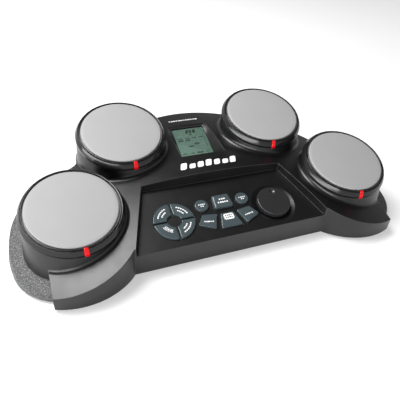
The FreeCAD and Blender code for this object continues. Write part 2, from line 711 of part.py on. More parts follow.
def dial():
    """A turned dial with a finger dimple near its upper edge, its shaft and its encoder."""
    profile = [
        (0, "0-dial_foot"), ("dial_radius-0.6", "0-dial_foot"), ("dial_radius", -1),
        ("dial_radius", "dial_rise-dial_round", "dial_round", 1),
        ("dial_radius-dial_round", "dial_rise"), (0, "dial_rise"),
    ]
    dimple = bind(doc.addObject("Part::Sphere", "dimple"), Radius="dimple_radius")
    dimple.Placement = dial_frame() * at(2.2, 12.6, "dial_rise+5")
    socket = cylinder("dial_socket", "shaft_radius", 2.4, dial_frame("0-dial_foot"))
    keep(cut("dial", turned("dial_blank", profile, dial_frame()), dimple, socket))
    keep(cylinder("dial_shaft", "shaft_radius", 7.4, dial_frame(-6.6)))
    block = box("encoder_block", "encoder_side", "encoder_side", 2.2, dial_frame(-7))
    bore = cylinder("encoder_bore", "shaft_radius+0.06", 12, dial_frame(-6.7))
    keep(cut("encoder", block, bore))


def button_board():
    return keep(box("button_board", 166, 50, "board_thickness", panel_frame(-4, 30, -8.6)))


# ---------------------------------------------------------------- display
def window_space(name):
    return box(name, "2*glass_half+7", "glass_length+6", 24, display_frame(0, "0-glass_length/2", -24))


def display_parts():
    """From the top down: the clear window, the display glass and the tray that holds it."""
    middle = "0-glass_length/2"
    width, length = "2*glass_half+6.4", "glass_length+5.4"
    keep(box("display_window", width, length, 1.5, display_frame(0, middle, -1.5)))
    keep(box("display_glass", "2*glass_half+4", "glass_length+3", 2.6, display_frame(0, middle, -4.1)))
    tray = box("frame_block", width, length, 5.2, display_frame(0, middle, -6.7))
    room_place = display_frame(0, middle, -4.1)
    room = box("frame_room", "2*glass_half+4.2", "glass_length+3.2", 2.6, room_place)
    keep(cut("display_frame", tray, room))


# ---------------------------------------------------------------- rear sockets, boards and speakers
SOCKETS = {
    # name: (place along the row, in pitches from the middle; radius of the nose in the wall)
    "power_button": (-2.5, 5.4), "power_inlet": (-1.5, 5.5), "aux_jack": (-0.5, 3.5),
    "phones_jack": (0.5, 3.5), "kick": (1.5, 5.5), "hat": (2.5, 5.5),
}


def rear_frame(name, inset=0):
    """A frame on the rear wall at a socket, its Z axis pointing out of the back."""
    spot = at("%g*socket_pitch" % SOCKETS[name][0], "rear_y-(%s)" % inset, "socket_z")
    return spot * Placement(Vector(), Rotation(Vector(1, 0, 0), -90))


def rear_holes():
    """The round holes that the sockets' noses and the power button fill."""
    holes = []
    for name, (_, radius) in SOCKETS.items():
        holes.append(cylinder("rear_hole_" + name, radius, 30, rear_frame(name, 10)))
    return holes


def socket(name, bore, depth):
    """A socket: a nose through the wall, a moulded block behind it, and the plug's bore."""
    nose = cylinder(name + "_nose", SOCKETS[name][1], "wall+0.6", rear_frame(name, "wall"))
    block = box(name + "_block", 14, 12, 15, rear_frame(name, "wall+15"))
    plug_bore = cylinder(name + "_bore", bore, 40, rear_frame(name, depth))
    return cut(name, fuse(name + "_blank", nose, block), plug_bore)


def rear_parts():
    """The row of sockets with the power button and its switch, and the main board behind them."""
    keep(socket("aux_jack", "jack_bore", 14))
    keep(socket("phones_jack", "jack_bore", 14))
    keep(group("pedal_jacks", socket("kick", "pedal_bore", 16), socket("hat", "pedal_bore", 16)))
    keep(socket("power_inlet", "inlet_bore", 10))
    cap = [
        (0, "0-wall-2"), (6.4, "0-wall-2"), (6.4, "0-wall-0.4"), (5.1, "0-wall-0.4"),
        (5.1, 1.4, 0.6, 1), (4.5, 2), (0, 2),
    ]
    keep(turned("power_button", cap, rear_frame("power_button")))
    keep(box("power_switch", 13, 12, 8, rear_frame("power_button", "wall+12")))
    keep(box("main_board", 112, 34, "board_thickness", at(0, 84, 27.6)))


def speakers():
    """Two small loudspeakers, cone down over the slots: basket and cone, magnet on top."""
    cone_face = [(0, 11), (8, 11), (23, 2), (26, 2), (27, 0)]
    basket = [("speaker_radius", 0), ("speaker_radius", 2), ("speaker_radius-2", 3.5)]
    magnet = [(20, 13), (20, 22), (0, 22)]
    for side, name in ((-1, "speaker_left"), (1, "speaker_right")):
        keep(turned(name, cone_face + basket + magnet, speaker_frame(side)))


# ---------------------------------------------------------------- build
def check_and_write():
    doc.recompute()
    broken = [item.Name for item in doc.Objects if {"Invalid", "Error"} & set(item.State)]
    broken += [item.Label for item in sub_parts if item.Shape.isNull() or not item.Shape.isValid()]
    if broken:
        raise RuntimeError("failed objects: " + ", ".join(broken))
    os.makedirs("parts", exist_ok=True)
    for item in sub_parts:
        item.Shape.exportStep("parts/%s.step" % item.Label)
        print("%-28s %d solid(s) %10.1f mm3" % (item.Label, len(item.Shape.Solids), item.Shape.Volume))


def build():
    write_sheet()
    whole_sketch = extruded("whole_prism", whole_outline(), "foot_height", "sky")[1]
    floor_space = grown("floor_space", whole_sketch, "0-wall", 0, "wall+0.2")
    solid, cavity = shell_blanks()
    key_holes = [key(name) for name in KEY_SHAPES]
    keep(top_case(solid, cavity, floor_space, key_holes))
    wings(solid, floor_space)
    bottom_case(whole_sketch)
    battery_door()
    battery_cells()
    battery_contacts()
    rubber_feet()
    case_screws()
    for pad in PADS:
        pad_parts(pad)
    keypad_mat()
    button_board()
    dial()
    display_parts()
    rear_parts()
    speakers()
    check_and_write()


build()
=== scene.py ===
import json
import math

import bmesh
import bpy
from mathutils import Matrix, Vector


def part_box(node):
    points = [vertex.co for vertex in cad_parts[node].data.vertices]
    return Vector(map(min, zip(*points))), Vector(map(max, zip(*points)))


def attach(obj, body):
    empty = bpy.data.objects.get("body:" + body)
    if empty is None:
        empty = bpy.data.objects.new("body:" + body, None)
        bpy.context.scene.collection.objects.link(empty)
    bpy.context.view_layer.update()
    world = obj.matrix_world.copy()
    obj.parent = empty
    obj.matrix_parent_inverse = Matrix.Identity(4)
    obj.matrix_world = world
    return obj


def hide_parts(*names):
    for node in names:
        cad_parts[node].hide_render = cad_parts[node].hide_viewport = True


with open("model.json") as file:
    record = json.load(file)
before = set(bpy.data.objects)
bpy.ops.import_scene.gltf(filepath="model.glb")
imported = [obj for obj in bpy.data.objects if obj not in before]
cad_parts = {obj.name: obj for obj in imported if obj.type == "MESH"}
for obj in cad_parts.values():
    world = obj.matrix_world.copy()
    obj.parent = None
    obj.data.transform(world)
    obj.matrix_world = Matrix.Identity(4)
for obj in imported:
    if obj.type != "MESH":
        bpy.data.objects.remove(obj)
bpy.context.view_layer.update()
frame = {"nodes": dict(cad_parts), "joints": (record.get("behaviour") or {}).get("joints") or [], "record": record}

MM = 0.001  # shapes are worked out in millimetres, and the stage in metres
COINCIDENT = 0.0001 * MM  # points this close to each other are one point
PADS = ("front_left", "back_left", "back_right", "front_right")
JOINT_AXIS = {joint["name"]: Vector(joint["axis"]) for joint in frame["joints"]}
PANEL_UP = JOINT_AXIS["dial_turn"].normalized()
PAD_UP = JOINT_AXIS["pad_front_left_press"].normalized()


# ---------------------------------------------------------------- frames on the object
def basis(origin, up):
    """A frame whose Z is up and whose X stays level."""
    right = Vector((1, 0, 0))
    ahead = up.cross(right)
    rotation = Matrix((right, ahead, up)).transposed().to_4x4()
    return Matrix.Translation(origin) @ rotation


def centre(node):
    """The middle of a CAD node's box at rest."""
    low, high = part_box(node)
    return (low + high) / 2


def pad_frame(pad):
    """The frame of a pad: its origin is in the middle of the head, level with the head's edge."""
    plate_middle_depth = 4.75 * MM
    return basis(centre("pad_plate_" + pad) + plate_middle_depth * PAD_UP, PAD_UP)


def panel_frame():
    """The control panel's frame, on its front edge in the middle: u to the right, v up the slope."""
    front, slope_foot = -90.2 * MM, 28.5 * MM
    return basis(Vector((0, front, slope_foot)), PANEL_UP)


PANEL = panel_frame()


# ---------------------------------------------------------------- mesh helpers
def new_piece(name, vertices, faces, body, slot, smooth, material=None):
    """A mesh object that rides on a body; edges sharper than smooth, in degrees, stay sharp."""
    mesh = bpy.data.meshes.new(name)
    mesh.from_pydata([tuple(v) for v in vertices], [], faces)
    mesh.validate()
    mesh.update()
    piece = bpy.data.objects.new(name, mesh)
    bpy.context.scene.collection.objects.link(piece)
    clean = bmesh.new()
    clean.from_mesh(mesh)
    bmesh.ops.remove_doubles(clean, verts=clean.verts, dist=COINCIDENT)
    bmesh.ops.recalc_face_normals(clean, faces=clean.faces)
    clean.to_mesh(mesh)
    clean.free()
    mesh.set_sharp_from_angle(angle=math.radians(smooth))
    for polygon in mesh.polygons:
        polygon.use_smooth = True
    mesh.materials.append(material or MATERIALS[slot])
    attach(piece, body)
    return piece


def rings_mesh(rings, capped=True, closed=False):
    """Vertices and faces of a skin over rings that have the same number of points each. Its two ends
    are capped, left open, or joined to each other if it is closed."""
    count = len(rings[0])
    vertices = [point for ring in rings for point in ring]
    faces = []
    spans = len(rings) if closed else len(rings) - 1
    for i in range(spans):
        this, other = i * count, ((i + 1) % len(rings)) * count
        for j in range(count):
            k = (j + 1) % count
            faces.append((this + j, this + k, other + k, other + j))
    if capped and not closed:
        faces.append(tuple(reversed(range(count))))
        last = (len(rings) - 1) * count
        faces.append(tuple(range(last, last + count)))
    return vertices, faces


def arc(x, z, radius, start, end, steps):
    """Profile points on an arc in the lathe plane; angles in degrees, millimetres."""
    turns = [math.radians(start + (end - start) * i / steps) for i in range(steps + 1)]
    return [(x + radius * math.cos(a), z + radius * math.sin(a)) for a in turns]


def turned_point(place, r, z, angle):
    """A point at a radius, a height and an angle about a frame's Z axis; millimetres and radians."""
    return place @ (MM * Vector((r * math.cos(angle), r * math.sin(angle), z)))


def section_ring(section, place, angle):
    """A section, in millimetres, stood up at one angle about a frame's Z axis."""
    return [turned_point(place, r, z, angle) for r, z in section]


def turns_of(segments):
    """Evenly spaced angles that make a full turn."""
    return [2 * math.pi * i / segments for i in range(segments)]


def slotted_lathe(profile, slot_profile, place, slot_angle, slot_width):
    """A turned ring whose section changes over a short arc, with square ends to that slot."""
    half = slot_width / 2
    sweep = 360 - slot_width
    ring_steps, slot_steps = 180, 6
    rings = []
    for i in range(ring_steps + 1):
        rings.append((slot_angle + half + sweep * i / ring_steps, profile))
    for i in range(slot_steps + 1):
        rings.append((slot_angle - half + slot_width * i / slot_steps, slot_profile))
    return [section_ring(section, place, math.radians(angle)) for angle, section in rings]


# ---------------------------------------------------------------- materials
COLOUR_A, COLOUR_B, COLOUR_OUT = 6, 7, 2  # a Mix node's colour sockets, which share their names with others


def new_material(name, roughness, metallic=0.0, specular=0.5):
    """A new Principled material, with its node tree and its shader."""
    material = bpy.data.materials.new(name)
    material.use_nodes = True
    shader = material.node_tree.nodes["Principled BSDF"]
    shader.inputs["Roughness"].default_value = roughness
    shader.inputs["Metallic"].default_value = metallic
    shader.inputs["Specular IOR Level"].default_value = specular
    return material, material.node_tree, shader


def node(tree, kind, **settings):
    """A new node; each setting is one of its sockets' values, or else one of its properties."""
    made = tree.nodes.new(kind)
    for key, value in settings.items():
        if key in made.inputs:
            made.inputs[key].default_value = value
        else:
            setattr(made, key, value)
    return made


def noise(tree, scale, detail=3.0, roughness=0.5):
    """A noise that is fixed to the object; scale is in features per metre."""
    coordinates = node(tree, "ShaderNodeTexCoord")
    texture = node(tree, "ShaderNodeTexNoise", Scale=scale, Detail=detail, Roughness=roughness)
    tree.links.new(coordinates.outputs["Object"], texture.inputs["Vector"])
    return texture.outputs["Fac"]


def ramp(tree, source, stops):
    """A colour ramp over a factor; each stop is a position and a colour or a grey."""
    made = node(tree, "ShaderNodeValToRGB")
    elements = made.color_ramp.elements
    while len(elements) < len(stops):
        elements.new(0.5)
    for element, (position, colour) in zip(elements, stops):
        element.position = position
        element.color = (*colour, 1) if isinstance(colour, tuple) else (colour, colour, colour, 1)
    tree.links.new(source, made.inputs["Fac"])
    return made.outputs["Color"]


def blend_colours(tree, factor, low, high):
    """A colour between two, by a factor."""
    mixed = node(tree, "ShaderNodeMix", data_type="RGBA")
    tree.links.new(factor, mixed.inputs["Factor"])
    mixed.inputs[COLOUR_A].default_value = (*low, 1)
    mixed.inputs[COLOUR_B].default_value = (*high, 1)
    return mixed.outputs[COLOUR_OUT]


def edge_mask(tree, radius):
    """Near 1 on convex and concave edges, 0 on open faces, from how far a bevelled normal departs."""
    bevel = node(tree, "ShaderNodeBevel", samples=6, Radius=radius)
    geometry = node(tree, "ShaderNodeNewGeometry")
    dot = node(tree, "ShaderNodeVectorMath", operation="DOT_PRODUCT")
    tree.links.new(bevel.outputs["Normal"], dot.inputs[0])
    tree.links.new(geometry.outputs["Normal"], dot.inputs[1])
    return ramp(tree, dot.outputs["Value"], [(0.90, 1.0), (0.995, 0.0)])


def moulded(name, dark, light, roughness, grain, depth, edge=0.5, spread=0.03, edge_highlight=0.0, specular=0.5):
    """Moulded plastic or rubber: two close tones, uneven gloss, a fine grain and softened edges. The grain's
    size and depth and the edge's radius are in millimetres; spread is how uneven the gloss is, and
    edge_highlight how much lighter the edges are painted: a painted highlight in place of glints on them."""
    material, tree, shader = new_material(name, roughness, specular=specular)
    tone = blend_colours(tree, noise(tree, 35.0), dark, light)
    # painted highlight: the edges found by the edge mask are painted lighter, a glint put into the colour
    if edge_highlight:
        highlighted_edges = node(tree, "ShaderNodeMix", data_type="RGBA", blend_type="ADD")
        tree.links.new(edge_mask(tree, 1.2 * edge * MM), highlighted_edges.inputs["Factor"])
        tree.links.new(tone, highlighted_edges.inputs[COLOUR_A])
        highlighted_edges.inputs[COLOUR_B].default_value = (edge_highlight, edge_highlight, edge_highlight, 1)
        tone = highlighted_edges.outputs[COLOUR_OUT]
    tree.links.new(tone, shader.inputs["Base Color"])
    gloss = ramp(tree, noise(tree, 90.0, 5.0), [(0.2, roughness - spread), (0.8, roughness + spread)])
    tree.links.new(gloss, shader.inputs["Roughness"])
    bump = node(tree, "ShaderNodeBump", Strength=1.0, Distance=depth * MM)
    tree.links.new(noise(tree, 1000.0 / grain, 2.0), bump.inputs["Height"])
    if edge:
        bevel = node(tree, "ShaderNodeBevel", samples=8, Radius=edge * MM)
        tree.links.new(bevel.outputs["Normal"], bump.inputs["Normal"])
    tree.links.new(bump.outputs["Normal"], shader.inputs["Normal"])
    return material


def grained(name):
    """Coarse spark-eroded grain: light and dark specks that also bump the surface."""
    material, tree, shader = new_material(name, 0.55)
    specks = noise(tree, 1150.0, 4.0, 0.7)
    pits, ground, peaks = (0.008, 0.008, 0.009), (0.032, 0.032, 0.033), (0.30, 0.30, 0.303)
    tone = ramp(tree, specks, [(0.38, pits), (0.52, ground), (0.65, peaks)])
    tree.links.new(tone, shader.inputs["Base Color"])
    bump = node(tree, "ShaderNodeBump", Strength=1.0, Distance=0.12 * MM)
    tree.links.new(specks, bump.inputs["Height"])
    bevel = node(tree, "ShaderNodeBevel", samples=8, Radius=0.8 * MM)
    tree.links.new(bevel.outputs["Normal"], bump.inputs["Normal"])
    tree.links.new(bump.outputs["Normal"], shader.inputs["Normal"])
    return material


def metal(name, colour, roughness, brushed=True):
    """Bare metal: uneven tone, and fine lines along X if it is brushed."""
    material, tree, shader = new_material(name, roughness, metallic=1.0)
    low = tuple(0.8 * c for c in colour)
    tree.links.new(blend_colours(tree, noise(tree, 120.0), low, colour), shader.inputs["Base Color"])
    coordinates = node(tree, "ShaderNodeTexCoord")
    stretch = node(tree, "ShaderNodeMapping")
    stretch.inputs["Scale"].default_value = (60.0, 4000.0, 4000.0) if brushed else (900.0, 900.0, 900.0)
    texture = node(tree, "ShaderNodeTexNoise", Scale=1.0, Detail=3.0)
    tree.links.new(coordinates.outputs["Object"], stretch.inputs["Vector"])
    tree.links.new(stretch.outputs["Vector"], texture.inputs["Vector"])
    bump = node(tree, "ShaderNodeBump", Strength=0.6, Distance=0.01 * MM)
    tree.links.new(texture.outputs["Fac"], bump.inputs["Height"])
    tree.links.new(bump.outputs["Normal"], shader.inputs["Normal"])
    return material


def foam_material():
    """Open-cell foam: dark cells with lighter walls."""
    material, tree, shader = new_material("foam", 0.95)
    cells = node(tree, "ShaderNodeTexVoronoi", Scale=1600.0)
    coordinates = node(tree, "ShaderNodeTexCoord")
    tree.links.new(coordinates.outputs["Object"], cells.inputs["Vector"])
    tone = ramp(tree, cells.outputs["Distance"], [(0.0, 0.03), (0.7, 0.16)])
    tree.links.new(tone, shader.inputs["Base Color"])
    bump = node(tree, "ShaderNodeBump", Strength=1.0, Distance=0.3 * MM)
    tree.links.new(cells.outputs["Distance"], bump.inputs["Height"])
    tree.links.new(bump.outputs["Normal"], shader.inputs["Normal"])
    return material


def clear_window():
    """Thin polished acrylic: see-through, with a reflection that grows at a slant, and faint smears."""
    material = bpy.data.materials.new("window_clear")
    material.use_nodes = True
    tree = material.node_tree
    tree.nodes.remove(tree.nodes["Principled BSDF"])
    clear = node(tree, "ShaderNodeBsdfTransparent", Color=(0.93, 0.96, 0.94, 1))
    gloss = node(tree, "ShaderNodeBsdfGlossy")
    slant = node(tree, "ShaderNodeFresnel", IOR=1.45)
    mixed = node(tree, "ShaderNodeMixShader")
    smear = ramp(tree, noise(tree, 60.0, 6.0), [(0.35, 0.02), (0.7, 0.12)])
    tree.links.new(smear, gloss.inputs["Roughness"])
    tree.links.new(slant.outputs["Fac"], mixed.inputs["Fac"])
    tree.links.new(clear.outputs["BSDF"], mixed.inputs[1])
    tree.links.new(gloss.outputs["BSDF"], mixed.inputs[2])
    tree.links.new(mixed.outputs["Shader"], tree.nodes["Material Output"].inputs["Surface"])
    return material


def display_material():
    """Reflective liquid-crystal sheet: grey-green, slightly uneven, with a very fine grain."""
    material, tree, shader = new_material("display_liquid", 0.35)
    tone = blend_colours(tree, noise(tree, 25.0), (0.25, 0.385, 0.325), (0.31, 0.455, 0.385))
    tree.links.new(tone, shader.inputs["Base Color"])
    bump = node(tree, "ShaderNodeBump", Strength=0.4, Distance=0.01 * MM)
    tree.links.new(noise(tree, 2500.0), bump.inputs["Height"])
    tree.links.new(bump.outputs["Normal"], shader.inputs["Normal"])
    return material


# moulded: name, darker tone, lighter tone, roughness, grain size and grain depth
# the shell, the keys and the dial get a painted highlight: their edges are painted lighter
MATERIALS = {
    "shell_black": moulded("shell_black", (0.003, 0.003, 0.0033), (0.005, 0.005, 0.0054), 0.34, 0.30, 0.004,
                           edge=0.7, edge_highlight=0.05),
    "grained_cover": grained("grained_cover"),
    "base_plastic": moulded("base_plastic", (0.016, 0.016, 0.017), (0.024, 0.024, 0.025), 0.5, 0.4, 0.03),
    "foot_rubber": moulded("foot_rubber", (0.012, 0.012, 0.012), (0.02, 0.02, 0.02), 0.8, 0.5, 0.04),
    "screw_steel": metal("screw_steel", (0.5, 0.5, 0.5), 0.35),
    "pad_rubber": moulded("pad_rubber", (0.30, 0.30, 0.30), (0.325, 0.325, 0.325), 0.62, 0.45, 0.02,
                          edge=0.4),
    "rim_gloss": moulded("rim_gloss", (0.008, 0.008, 0.009), (0.012, 0.012, 0.013), 0.17, 0.5, 0.001,
                         edge=0.3, spread=0.015, specular=0.34),
    "marker_red": moulded("marker_red", (0.66, 0.001, 0.004), (0.82, 0.002, 0.006), 0.2, 0.5, 0.003,
                          specular=0.3),
    "plate_steel": metal("plate_steel", (0.55, 0.55, 0.54), 0.4),
    "foam": foam_material(),
    "sensor_brass": metal("sensor_brass", (0.78, 0.6, 0.28), 0.35),
    "key_plastic": moulded("key_plastic", (0.044, 0.060, 0.066), (0.056, 0.075, 0.082), 0.21, 0.3, 0.005,
                           edge=0.3, edge_highlight=0.12),
    "mat_silicone": moulded("mat_silicone", (0.4, 0.4, 0.4), (0.5, 0.5, 0.5), 0.5, 0.5, 0.01),
    "board_green": moulded("board_green", (0.008, 0.07, 0.025), (0.012, 0.1, 0.04), 0.35, 0.6, 0.01),
    "dial_plastic": moulded("dial_plastic", (0.018, 0.018, 0.019), (0.024, 0.024, 0.025), 0.22, 0.3, 0.003,
                            edge=0.6, edge_highlight=0.10),
    "switch_body": moulded("switch_body", (0.02, 0.02, 0.02), (0.03, 0.03, 0.03), 0.45, 0.4, 0.01),
    "window_clear": clear_window(),
    "display_liquid": display_material(),
    "inner_frame": moulded("inner_frame", (0.012, 0.012, 0.012), (0.018, 0.018, 0.018), 0.5, 0.4, 0.01),
    "socket_plastic": moulded("socket_plastic", (0.012, 0.012, 0.012), (0.02, 0.02, 0.02), 0.35, 0.4, 0.01),
    "button_plastic": moulded("button_plastic", (0.04, 0.04, 0.042), (0.055, 0.055, 0.058), 0.35, 0.3, 0.01),
    "speaker_metal": metal("speaker_metal", (0.3, 0.3, 0.32), 0.45, brushed=False),
    "cell_can": metal("cell_can", (0.35, 0.36, 0.38), 0.35, brushed=False),
    "contact_steel": metal("contact_steel", (0.7, 0.7, 0.68), 0.3),
}
PRINT_WHITE = moulded("print_white", (0.78, 0.78, 0.78), (0.86, 0.86, 0.86), 0.5, 0.4, 0.004, edge=0.0)
SEGMENT_DARK = moulded("segment_dark", (0.02, 0.035, 0.03), (0.03, 0.05, 0.04), 0.5, 0.4, 0.004, edge=0.0)


def dress_cad_nodes():
    """Every CAD node shows its slot's material."""
    slots = {entry["node"]: entry["material_slot"] for entry in frame["record"]["subparts"]}
    for name, item in frame["nodes"].items():
        item.data.materials.clear()
        item.data.materials.append(MATERIALS[slots[name]])


# ---------------------------------------------------------------- pads
MARKER_TURN = 6.0
MARKER_ANGLE = 5.5  # how much of the rim the marker covers, in degrees
RIM_RADIUS = 51.5
HEAD_CROWN = 1.0  # how high the middle of a head stands over its edge


def marker_middle(pad):
    """The angle of a pad's marker about the pad's axis, in degrees."""
    side = -1 if "left" in pad else 1
    return -90 - side * MARKER_TURN


def pad_head(pad):
    """The rubber head: a crowned disc with a soft shoulder, and a thin skirt held under the rim's lip."""
    crown_half = 44.0
    crown_radius = (crown_half ** 2 + HEAD_CROWN ** 2) / (2 * HEAD_CROWN)
    crown_edge, crown_steps = 43.6, 14
    profile = [(0.0, -4.0), (20.0, -4.0), (40.0, -4.0)]
    profile += arc(47.2, -3.6, 0.4, -90, 0, 3) + arc(47.2, -3.0, 0.4, 0, 90, 3)
    profile += arc(45.6, -2.0, 0.6, 270, 180, 4)
    profile += arc(43.9, -1.1, 1.1, 0, 84, 7)
    for step in range(1, crown_steps + 1):
        radius = crown_edge * (1 - step / crown_steps)
        profile.append((radius, HEAD_CROWN - (crown_radius - math.sqrt(crown_radius ** 2 - radius ** 2))))
    vertices, faces = turned_skin(profile, pad_frame(pad), 160)
    head = new_piece("head_skin_" + pad, vertices, faces, "pad_" + pad, "pad_rubber", 50)
    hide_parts("pad_head_" + pad)


def turned_skin(profile, place, segments):
    """A turned solid whose profile starts and ends on its axis."""
    rings = [[turned_point(place, r, z, a) for a in turns_of(segments)] for r, z in profile[1:-1]]
    vertices, faces = rings_mesh(rings, capped=False)
    for (_, height), ring in ((profile[0], 0), (profile[-1], len(rings) - 1)):
        tip = len(vertices)
        vertices.append(place @ (MM * Vector((0, 0, height))))
        base = ring * segments
        faces += [(tip, base + i, base + (i + 1) % segments) for i in range(segments)]
    return vertices, faces


def rim_section(sunk=0.0):
    """The rim's section, anticlockwise from its inner foot: an upright wall, a broad flat chamfer, a
    groove and the bead that holds the head. The slot for the marker is the same, sunk."""
    outer = RIM_RADIUS - sunk
    chamfer = 29.6
    points = [(48.2, -9.5), (outer - 0.6, -9.5)]
    points += arc(outer - 0.6, -8.9, 0.6, -60, 0, 3)
    points += arc(outer - 0.8, -6.5, 0.8, 0, chamfer, 4)
    points += arc(outer - 2.95, -1.85, 0.4, chamfer, 100, 4)
    points += [(48.05 - 0.6 * sunk, -1.75 - 0.6 * sunk), (47.75 - 0.4 * sunk, -1.75 - 0.8 * sunk)]
    points += arc(47.05 - 0.3 * sunk, -1.05 - sunk, 0.55, -20, 180, 9)
    points += [(46.3, -2.0 - 0.2 * sunk), (46.6, -2.4), (48.2, -2.6)]
    return points


def pad_rim(pad):
    """The black ring round the head, with the sunk slot that the marker sits in."""
    slot_depth, slot_room = 0.9, 0.4
    rings = slotted_lathe(rim_section(), rim_section(slot_depth), pad_frame(pad), marker_middle(pad),
                          MARKER_ANGLE + slot_room)
    vertices, faces = rings_mesh(rings, closed=True)
    rim = new_piece("rim_ring_" + pad, vertices, faces, "body", "rim_gloss", 40)
    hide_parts("pad_rim_" + pad)


def strike_marker(pad):
    """The red inlay that follows the rim's section, a little proud, with rounded ends."""
    section = [
        (50.6, -9.0), (51.85, -9.0), (51.95, -8.6), (51.95, -6.5), (51.5, -5.4), (50.7, -4.3), (49.5, -2.6),
        (48.6, -1.2), (47.7, -0.25), (47.0, -0.2), (46.75, -0.7), (46.9, -1.7), (48.4, -3.0), (50.0, -5.2),
    ]
    heart = Vector((49.6, -5.2))
    # each end: how far along the marker's half length, and how large the section is there
    ends = ((1.0, 0.72), (0.95, 0.86), (0.84, 0.95), (0.66, 0.99), (0.4, 1.0))
    rings = []
    for share, size in [(-share, size) for share, size in ends] + list(reversed(ends)):
        shrunk = [heart + (Vector(point) - heart) * size for point in section]
        angle = math.radians(marker_middle(pad) + share * MARKER_ANGLE / 2)
        rings.append(section_ring(shrunk, pad_frame(pad), angle))
    vertices, faces = rings_mesh(rings)
    marker = new_piece("red_inlay_" + pad, vertices, faces, "body", "marker_red", 35)
    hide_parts("strike_marker_" + pad)


# ---------------------------------------------------------------- keys
def cap_outline(name):
    """The outline of a CAD key's top face, in panel coordinates, in millimetres, anticlockwise."""
    mesh = frame["nodes"][name].data
    to_panel = PANEL.inverted()
    points = [to_panel @ v.co / MM for v in mesh.vertices]
    top = max(p.z for p in points)
    flatness = 0.02  # how far below the highest point the top face may reach
    rim_edges = set()
    for polygon in mesh.polygons:
        if all(points[i].z > top - flatness for i in polygon.vertices):
            loop = [tuple(round(c, 3) for c in points[i].xy) for i in polygon.vertices]
            for edge in zip(loop, loop[1:] + loop[:1]):
                if edge[::-1] in rim_edges:
                    rim_edges.remove(edge[::-1])
                else:
                    rim_edges.add(edge)
    follow = dict(rim_edges)
    start = min(follow)
    outline = [start]
    while follow[outline[-1]] != start:
        outline.append(follow[outline[-1]])
    area = sum(a[0] * b[1] - b[0] * a[1] for a, b in zip(outline, outline[1:] + outline[:1]))
    if area < 0:
        outline.reverse()
    return outline, top


def resampled(outline, spacing):
    """The outline with extra points along its long straight stretches."""
    points = []
    for a, b in zip(outline, outline[1:] + outline[:1]):
        start, end = Vector(a), Vector(b)
        count = max(1, round((end - start).length / spacing))
        points += [start.lerp(end, i / count) for i in range(count)]
    return points


def offset_outline(points, distance):
    """Each point moved inwards along its own normal, in millimetres, far enough at a corner for its walls
    to stay parallel."""
    moved = []
    sharpest_corner = 0.5
    for i, point in enumerate(points):
        before, after = points[i - 1], points[(i + 1) % len(points)]
        along_a, along_b = (point - before).normalized(), (after - point).normalized()
        normal = Vector((-(along_a.y + along_b.y), along_a.x + along_b.x)).normalized()
        corner = max(sharpest_corner, normal.dot(Vector((-along_a.y, along_a.x))))
        moved.append(point + normal * distance / corner)
    return moved


def key_cap(name):
    """A key cap rebuilt on its CAD outline: flange, walls and a round shoulder up to its top. Each level
    is how far the outline moves inwards and its height; the height of the top is returned."""
    outline, top = cap_outline(name)
    spacing = 1.2
    points = resampled(outline, spacing)
    shoulder = 2.0 if "square" in name else 0.9
    flange, foot, shelf = 0.9, -3.9, -2.7
    levels = [(0.0, foot), (-flange, foot), (-flange, shelf), (0.0, shelf), (0.0, 0.0)]
    levels.append((0.0, top - shoulder))
    steps = 8
    for step in range(1, steps + 1):
        turn = math.radians(90 * step / steps)
        levels.append((shoulder * (1 - math.cos(turn)), top - shoulder * (1 - math.sin(turn))))
    rings = []
    for inset, height in levels:
        rings.append([PANEL @ (MM * Vector((p.x, p.y, height))) for p in offset_outline(points, inset)])
    vertices, faces = rings_mesh(rings)
    cap = new_piece("cap_" + name, vertices, faces, name, "key_plastic", 40)
    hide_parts(name)
    return top


# ---------------------------------------------------------------- printed marks
DOME_RADIUS, DOME_Y, DOME_TOP = 817.0, 95.9, 67.8
PRINT_THICKNESS = 0.07
PRINT_SINK = 0.05


def on_dome(x, y, lift):
    """A point over the shell's domed top, lifted along its normal; millimetres in, metres out."""
    middle = Vector((0, DOME_Y, DOME_TOP - DOME_RADIUS))
    height = math.sqrt(DOME_RADIUS ** 2 - x ** 2 - (y - DOME_Y) ** 2)
    outward = Vector((x, y - DOME_Y, height)).normalized()
    return (middle + outward * (DOME_RADIUS + lift)) * MM


def on_plane(place, height):
    """The same for a flat face: a function that lifts (x, y) off the plane at that height."""
    return lambda x, y, lift: place @ (MM * Vector((x, y, height + lift)))


def bar(x, y, length, width, slant=0.0):
    """A bar with clipped corners, as an outline; slant leans it over, as a share of its width."""
    clipped_share = 0.18
    half, tall, clip = length / 2, width / 2, min(length, width) * clipped_share
    corners = [(-half + clip, -tall), (half - clip, -tall), (half, -tall + clip), (half, tall - clip),
               (half - clip, tall), (-half + clip, tall), (-half, tall - clip), (-half, -tall + clip)]
    return [(x + a + slant * b, y + b) for a, b in corners]


def ring_bar(x, y, radius, width, start, end, steps=10):
    """A bar bent round (x, y); angles in degrees."""
    outline = []
    for reach, turns in ((radius + width / 2, range(steps + 1)), (radius - width / 2, range(steps, -1, -1))):
        for i in turns:
            a = math.radians(start + (end - start) * i / steps)
            outline.append((x + reach * math.cos(a), y + reach * math.sin(a)))
    return outline


def printed(name, outlines, surface, body, slot, material):
    """A thin layer of ink: each outline becomes a closed slab that follows the surface."""
    vertices, faces = [], []
    for outline in outlines:
        rings = [[surface(x, y, lift) for x, y in outline] for lift in (-PRINT_SINK, PRINT_THICKNESS)]
        points, skin = rings_mesh(rings)
        base = len(vertices)
        vertices += points
        faces += [tuple(base + i for i in face) for face in skin]
    new_piece(name, vertices, faces, body, slot, 20, material)


